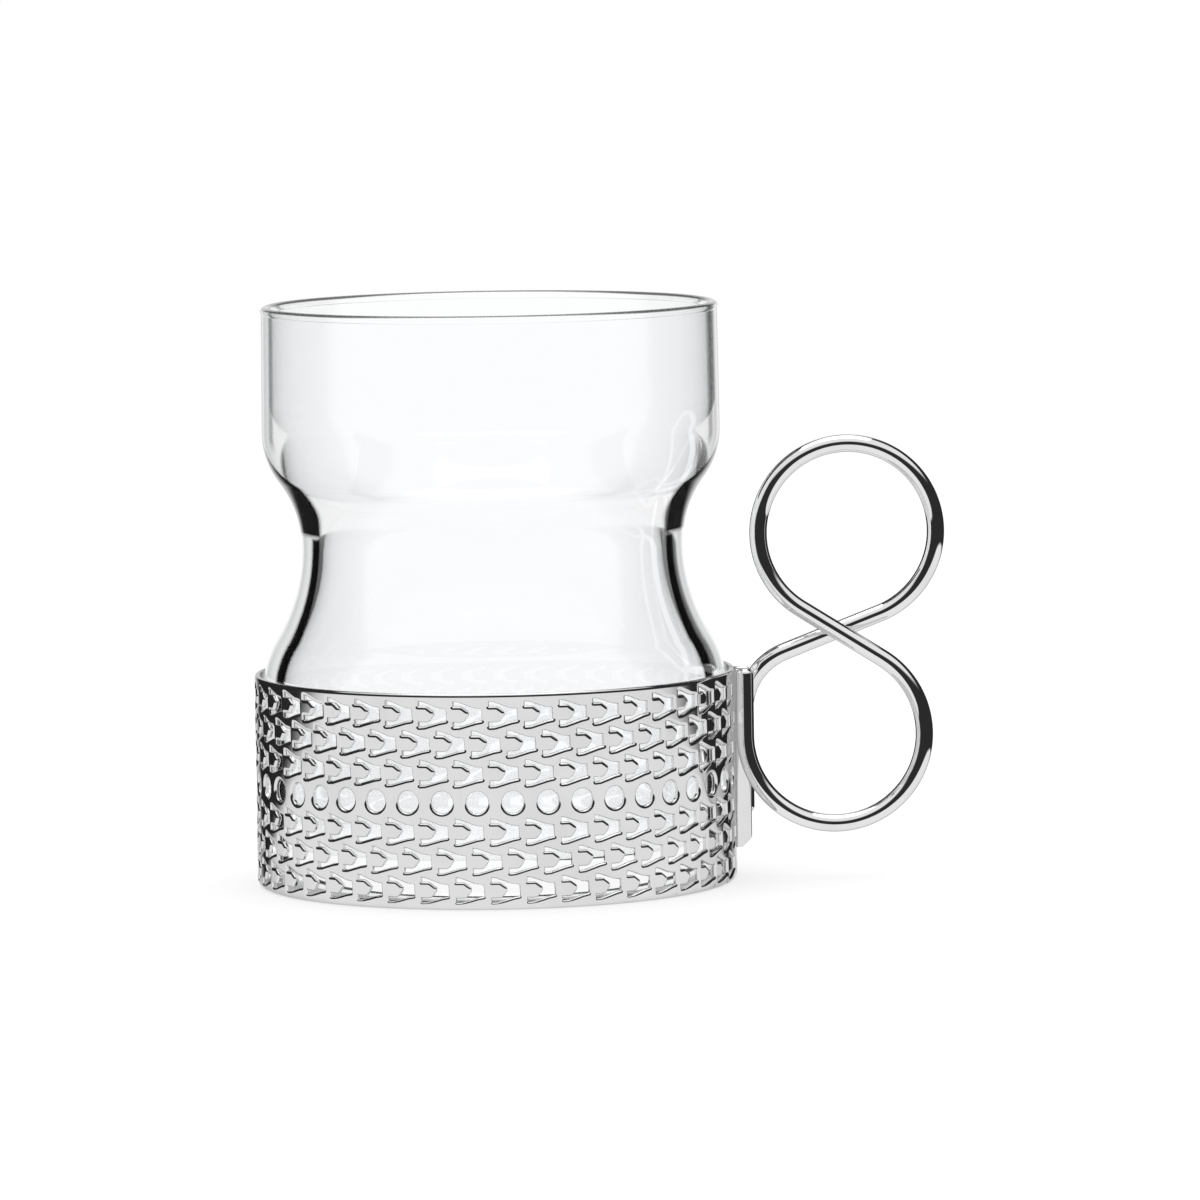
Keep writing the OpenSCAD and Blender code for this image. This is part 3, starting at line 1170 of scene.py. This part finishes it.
@dataclass(frozen=True)
class SoftWaviness:
    """The effect that gives the slow waves of a blown or bent surface."""

    detail: float = 1.0
    roughness: float = 0.4

    def build(self) -> bpy.types.NodeTree:
        """Makes the effect's node group.

        Returns:
            The group, which puts out a height.
        """
        number = "NodeSocketFloat"
        group, tree = new_group("Soft waviness", {
            "Scale": (number, 40.0), "Stretch": (number, 1.0),
        }, {"Height": number})
        given = tree.add("NodeGroupInput").outputs
        x, y, z = tree.parts(tree.own_place())
        place = tree.add("CombineXYZ", X=x, Y=y, Z=tree.times(z, given["Stretch"]))
        waves = tree.add("TexNoise", Vector=place.outputs[0], Scale=given["Scale"],
                         Detail=self.detail, Roughness=self.roughness)
        tree.add("NodeGroupOutput", Height=waves.outputs["Fac"])
        return group


@dataclass(frozen=True)
class Groups:
    """The effects that more than one material uses, each built once."""

    wear: bpy.types.NodeTree
    waves: bpy.types.NodeTree


def add_waves(tree: NodeTree, shader: bpy.types.Node, groups: Groups, depth: float,
              **values: float) -> None:
    """Makes a material's surface slightly wavy.

    Args:
        tree: The material's nodes.
        shader: The Principled node.
        groups: The shared effects.
        depth: How high the waves are, in metres.
        **values: The values that the waviness group takes, by their names.
    """
    wavy = tree.add("Group", node_tree=groups.waves, **values)
    bump = tree.add("Bump", Distance=depth, Height=wavy.outputs["Height"])
    tree.fill(shader, Normal=bump.outputs[0])


def glow_into(tree: NodeTree, shader: bpy.types.Node, share: Feed) -> None:
    """Mixes a share of plain pale light into a material's surface.

    Args:
        tree: The material's nodes.
        shader: The Principled node, which keeps the rest.
        share: How much of the light shows, from 0 to 1.
    """
    tree.show(share, shader, tree.add("Emission", Color=PALE_LIGHT))


@dataclass(frozen=True)
class PolishedSteel:
    """Stainless steel with a mirror polish, fine hairlines and a faint haze."""

    name: str
    colour: tuple[float, float, float]
    worn_colour: tuple[float, float, float]
    roughness: float
    worn_roughness: float
    haze_scale: float
    hairline_scale: float
    wave_scale: float
    wave_depth: float
    edge_tint: float
    # How much light fills it in a second mirror, behind glass, and behind glass in the ring,
    # which is below these levels in millimetres
    second_light: float = 0.6
    inner_light: float = 0.97
    hole_light: float = 0.6
    hidden_levels: tuple[float, float] = (24.5, 26.5)

    def build(self, groups: Groups) -> bpy.types.Material:
        """Makes the material.

        Args:
            groups: The shared effects.

        Returns:
            The material.
        """
        material, tree, shader = new_material(self.name)
        worn = tree.add("Group", node_tree=groups.wear, Clean_Color=(*self.colour, 1),
                        Worn_Color=(*self.worn_colour, 1), Clean_Roughness=self.roughness,
                        Worn_Roughness=self.worn_roughness, Haze_Scale=self.haze_scale,
                        Hairline_Scale=self.hairline_scale)
        tree.fill(shader, Metallic=1.0, Specular_Tint=(*[self.edge_tint] * 3, 1),
                  Base_Color=worn.outputs["Color"], Roughness=worn.outputs["Roughness"])
        add_waves(tree, shader, groups, self.wave_depth, Scale=self.wave_scale)
        self.brighten_inside(tree, shader)
        return material

    def brighten_inside(self, tree: NodeTree, shader: bpy.types.Node) -> None:
        """Fills the metal with light where it is seen through glass or by a second mirror.

        Args:
            tree: The material's nodes.
            shader: The Principled node.
        """
        paths = tree.add("LightPath").outputs
        again = tree.math("GREATER_THAN", paths["Glossy Depth"], 1.5)
        behind = tree.math("GREATER_THAN", paths["Transmission Depth"], 0.5)
        low, high = (level * MM for level in self.hidden_levels)
        height = tree.parts(tree.own_place())[2]
        inner = tree.ramp(height, low, high, self.hole_light, self.inner_light)
        glow_into(tree, shader, tree.most(tree.times(again, self.second_light),
                                          tree.times(behind, inner)))


@dataclass(frozen=True)
class ClearGlass:
    """Clear blown soda glass with faint waves in its wall.

    The thick wall is painted dark beside the waist and left pale near its very edge. This is
    painted shade, a near-black mixed into the glass's colour. Each share of facing is the
    Layer Weight node's, 1 at the edge, and each level is in millimetres.
    """

    name: str
    colour: tuple[float, float, float]
    # Painted shade: the grey that the glass's colour turns to towards its edges
    edge_shade_colour: tuple[float, float, float]
    refraction: float
    wave_scale: float
    wave_stretch: float
    wave_depth: float
    edge_shade_range: tuple[float, float] = (0.65, 1.0)
    # The near-black that is painted into the glass as shade
    painted_shade_colour: tuple[float, float, float] = (0.0001, 0.0001, 0.0001)
    # Between these levels the painted dark starts ever nearer to the edge
    dark_levels: tuple[float, float] = (58.0, 71.0)
    dark_facing: tuple[float, float] = (0.54, 0.87)
    dark_soft: float = 0.05
    # Below them the painted dark is a narrower line, which gives way over this distance
    line_facing: tuple[float, float] = (0.565, 0.66)
    line_soft: tuple[float, float] = (0.03, 0.05)
    line_end: tuple[float, float] = (-3.0, -2.0)
    # Up the bowl the painted line is thinner and fainter still, and starts this far below the
    # upper level
    wall_facing: tuple[float, float] = (0.67, 0.73)
    wall_soft: tuple[float, float] = (0.04, 0.04)
    wall_share: float = 0.7
    wall_start: float = 3.0
    # The painted dark line round the rim
    rim_levels: tuple[float, float] = (90.5, 90.65)
    rim_facing: tuple[float, float] = (0.2, 0.35)
    rim_share: float = 0.97

    def build(self, groups: Groups) -> bpy.types.Material:
        """Makes the material.

        Args:
            groups: The shared effects.

        Returns:
            The material.
        """
        material, tree, shader = new_material(self.name)
        facing = tree.add("LayerWeight", Blend=0.5).outputs["Facing"]
        # The glass's own colour, with painted shade that greys it towards the edges
        colour_and_edge_shade = tree.blend(tree.ramp(facing, *self.edge_shade_range), (*self.colour, 1),
                          (*self.edge_shade_colour, 1))
        # Painted shade: near-black mixed into the colour in bands near the edges, by facing and
        # height
        shade = tree.blend(self.edge_shade(tree, facing), colour_and_edge_shade, (*self.painted_shade_colour, 1))
        tree.fill(shader, Transmission_Weight=1.0, Roughness=0.0, IOR=self.refraction,
                  Base_Color=shade)
        add_waves(tree, shader, groups, self.wave_depth, Scale=self.wave_scale,
                  Stretch=self.wave_stretch)
        # Light that runs on inside the wall comes out pale: a painted glow of pale emission
        paths = tree.add("LightPath").outputs
        glow_into(tree, shader, tree.math("GREATER_THAN", paths["Glossy Depth"], 2.5))
        return material

    def edge_shade(self, tree: NodeTree, facing: bpy.types.NodeSocket) -> bpy.types.NodeSocket:
        """Tells where painted shade darkens the glass near its edges.

        Args:
            tree: The material's nodes.
            facing: The Layer Weight node's output, 1 at the glass's very edge.

        Returns:
            The share of painted shade, from 0 to 1.
        """
        height = tree.parts(tree.own_place())[2]
        low, high = (level * MM for level in self.dark_levels)
        start, end = (low + level * MM for level in self.line_end)
        above = tree.ramp(height, start, end)
        bound = tree.ramp(height, low, high, *self.dark_facing)
        waist = tree.ramp(tree.math("SUBTRACT", facing, bound), 0.0, self.dark_soft)
        line = tree.band(facing, self.line_facing, self.line_soft)
        wall = tree.times(tree.band(facing, self.wall_facing, self.wall_soft),
                          tree.ramp(height, high - self.wall_start * MM, high, 0,
                                    self.wall_share))
        rim_low, rim_high = (level * MM for level in self.rim_levels)
        rim = tree.times(tree.ramp(height, rim_low, rim_high),
                         tree.ramp(facing, *self.rim_facing, 0, self.rim_share))
        shade = tree.most(tree.times(waist, above),
                          tree.times(line, tree.math("SUBTRACT", 1.0, above)), wall, rim)
        # Only the first face that is met is dark
        crossed = tree.add("LightPath").outputs["Transmission Depth"]
        return tree.times(shade, tree.math("LESS_THAN", crossed, 0.5))


@dataclass
class Studio:
    """The pale floor, the soft light and the camera.

    Lengths of the camera are in millimetres, those of the floor and the lamp in metres, and
    angles in degrees. A direction's turn is 0 straight in front of the object, towards the
    camera, and 180 behind it. Its aside is the turn counted from behind.
    """

    front_edge: float = -0.36
    back_edge: float = 1.6
    side_edge: float = 0.33
    floor_colour: float = 0.9
    floor_light: float = 1.02
    floor_shadow: float = 0.4
    lamp_power: float = 6.0
    lamp_size: float = 0.9
    lamp_place: tuple[float, float, float] = (0, 0.1, 1.1)
    camera_place: tuple[float, float, float] = (16.0, -1366.0, 168.4)
    pitch: float = 5.2
    yaw: float = -0.03
    roll: float = 0.845
    lens: float = 262.2
    sensor: float = 36.0
    bounces: int = 24
    # The dark room behind the camera, which stands higher at the sides, and how dark it is
    room_foot: tuple[float, float] = (-16.2, -13.7)
    room_top: tuple[float, float] = (20.0, 32.0)
    room_back: tuple[float, float] = (155.0, 168.0)
    rise_turn: tuple[float, float] = (80.0, 120.0)
    side_rise: float = 38.0
    darkness: float = 0.97
    # The glass, whose mirror is perfectly sharp, shows the room at its edges only
    edge_turn: tuple[float, float] = (70.0, 100.0)
    # The dark flags beside the backdrop and over it, which only the glass's edges show
    flag_aside: tuple[float, float] = (27.0, 34.0)
    flag_height: tuple[float, float] = (15.0, 30.0)
    flag_end: tuple[float, float] = (85.0, 95.0)
    right_flag_in: float = 11.0
    right_flag_x: float = 0.1
    # What is steeper than this is dark through two walls
    steep: tuple[float, float] = (20.0, 30.0)

    def build_camera(self) -> None:
        """Places the camera where the photograph was taken from."""
        data = bpy.data.cameras.new("camera")
        data.lens = self.lens
        data.sensor_width = self.sensor
        camera = add_object("camera", data)
        camera.location = [part * MM for part in self.camera_place]
        aim = Euler((RIGHT_ANGLE - math.radians(self.pitch), 0, math.radians(self.yaw)), "XYZ")
        turn = aim.to_matrix() @ Euler((0, 0, -math.radians(self.roll)), "XYZ").to_matrix()
        camera.rotation_euler = turn.to_euler("XYZ")
        bpy.context.scene.camera = camera

    def build_floor(self) -> None:
        """Lays the pale floor, which keeps a soft shadow."""
        material, tree, shader = new_material("pale_floor")
        tree.fill(shader, Base_Color=(*[self.floor_colour] * 3, 1), Roughness=0.9,
                  Specular_IOR_Level=0.0)
        tree.show(self.floor_shadow, tree.add("Emission", Strength=self.floor_light), shader)
        mesh = bpy.data.meshes.new("floor")
        left, right = -self.side_edge, self.side_edge
        mesh.from_pydata([(left, self.front_edge, 0), (right, self.front_edge, 0),
                          (right, self.back_edge, 0), (left, self.back_edge, 0)],
                         [], [(0, 1, 2, 3)])
        mesh.materials.append(material)
        floor = add_object("floor", mesh)
        floor.visible_glossy = False
        floor.visible_transmission = False

    def build_world(self) -> None:
        """Surrounds the set with a white studio that has a dark room behind the camera."""
        world = bpy.data.worlds.new("studio")
        bpy.context.scene.world = world
        world.use_nodes = True
        world.node_tree.nodes.clear()
        tree = NodeTree(world.node_tree)
        light = tree.math("MULTIPLY_ADD", self.dark_share(tree), -self.darkness, 1.0)
        soft = tree.add("Background", Color=(1, 1, 1, 1), Strength=light)
        tree.add("OutputWorld", Surface=soft.outputs[0])

    def dark_share(self, tree: NodeTree) -> bpy.types.NodeSocket:
        """Tells which directions are dark, and for which rays.

        Args:
            tree: The world's nodes.

        Returns:
            The share of darkness, from 0 to 1.
        """
        def between(value: Feed, angles: tuple[float, float], *to: float) -> Feed:
            """Ramps over a range of angles that is given in degrees."""
            return tree.ramp(value, *map(math.radians, angles), *to)

        x, y, z = tree.parts(tree.add("TexCoord").outputs["Generated"])
        height = tree.math("ARCSINE", z)
        turn = tree.math("ABSOLUTE", tree.math("ARCTAN2", x, tree.times(y, -1.0)))
        rise = between(turn, self.rise_turn, 0.0, math.radians(self.side_rise))
        in_room = between(turn, self.room_back, 1, 0)
        room = tree.times(between(height, self.room_foot),
                          between(tree.math("SUBTRACT", height, rise), self.room_top, 1, 0),
                          in_room)
        aside = tree.math("SUBTRACT", math.pi, turn)
        nearer = tree.ramp(x, 0, self.right_flag_x, 0, math.radians(self.right_flag_in))
        flags = tree.times(tree.most(between(tree.math("ADD", aside, nearer), self.flag_aside),
                                     between(height, self.flag_height)),
                           between(aside, self.flag_end, 1, 0))
        paths = tree.add("LightPath").outputs
        mirrored, through = paths["Glossy Depth"], paths["Transmission Depth"]
        sharp = paths["Is Singular Ray"]
        first = tree.most(tree.times(between(turn, self.edge_turn), in_room, sharp),
                          tree.times(room, tree.math("SUBTRACT", 1.0, sharp)))
        # Once mirrored before any glass, mirrored inside one wall, and seen through two walls
        clear = tree.times(tree.math("COMPARE", mirrored, 1.0, 0.1),
                           tree.math("LESS_THAN", through, 0.5))
        one_wall = tree.times(tree.math("COMPARE", mirrored, 1.5, 0.6),
                              tree.math("COMPARE", through, 1.5, 0.6))
        two_walls = tree.times(tree.math("LESS_THAN", mirrored, 0.5),
                               tree.math("COMPARE", through, 3.0, 1.6))
        return tree.most(tree.times(first, clear), tree.times(flags, one_wall),
                         tree.times(between(height, self.steep), two_walls))

    def build_lamp(self) -> None:
        """Hangs one large soft box over the set."""
        data = bpy.data.lights.new("soft_box", "AREA")
        data.energy = self.lamp_power
        data.size = self.lamp_size
        add_object("soft_box", data).location = self.lamp_place

    def build(self) -> None:
        """Sets up the whole studio."""
        self.build_camera()
        self.build_floor()
        self.build_world()
        self.build_lamp()
        scene = bpy.context.scene
        scene.view_settings.view_transform = "Standard"
        # Light runs up and down inside the glass wall before it leaves
        scene.cycles.max_bounces = self.bounces
        scene.cycles.glossy_bounces = self.bounces // 2
        scene.cycles.transmission_bounces = self.bounces


SHEET_STEEL = PolishedSteel(
    name="polished_sheet_steel", colour=(0.73, 0.73, 0.73), worn_colour=(0.69, 0.69, 0.69),
    roughness=0.04, worn_roughness=0.10, haze_scale=70.0, hairline_scale=1400.0,
    wave_scale=160.0, wave_depth=0.00002, edge_tint=0.6)
WIRE_STEEL = PolishedSteel(
    name="polished_wire_steel", colour=(0.78, 0.78, 0.78), worn_colour=(0.74, 0.74, 0.74),
    roughness=0.03, worn_roughness=0.07, haze_scale=120.0, hairline_scale=1600.0,
    wave_scale=220.0, wave_depth=0.00001, edge_tint=0.35)
BLOWN_GLASS = ClearGlass(
    name="clear_blown_glass", colour=(0.985, 0.99, 0.995), edge_shade_colour=(0.80, 0.82, 0.84),
    refraction=1.5, wave_scale=26.0, wave_stretch=0.5, wave_depth=0.00006)


def main() -> None:
    """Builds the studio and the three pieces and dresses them."""
    logging.basicConfig(level=logging.INFO, format="%(name)s: %(message)s")
    Studio().build()
    groups = Groups(FineWear().build(), SoftWaviness().build())
    for part in (HolderBand(), WireHandle(), TeaGlass()):
        piece = part.build()
        part.dress(piece, groups)
        log.info("%s: %d faces", piece.name, len(piece.data.polygons))


if __name__ == "__main__":
    main()
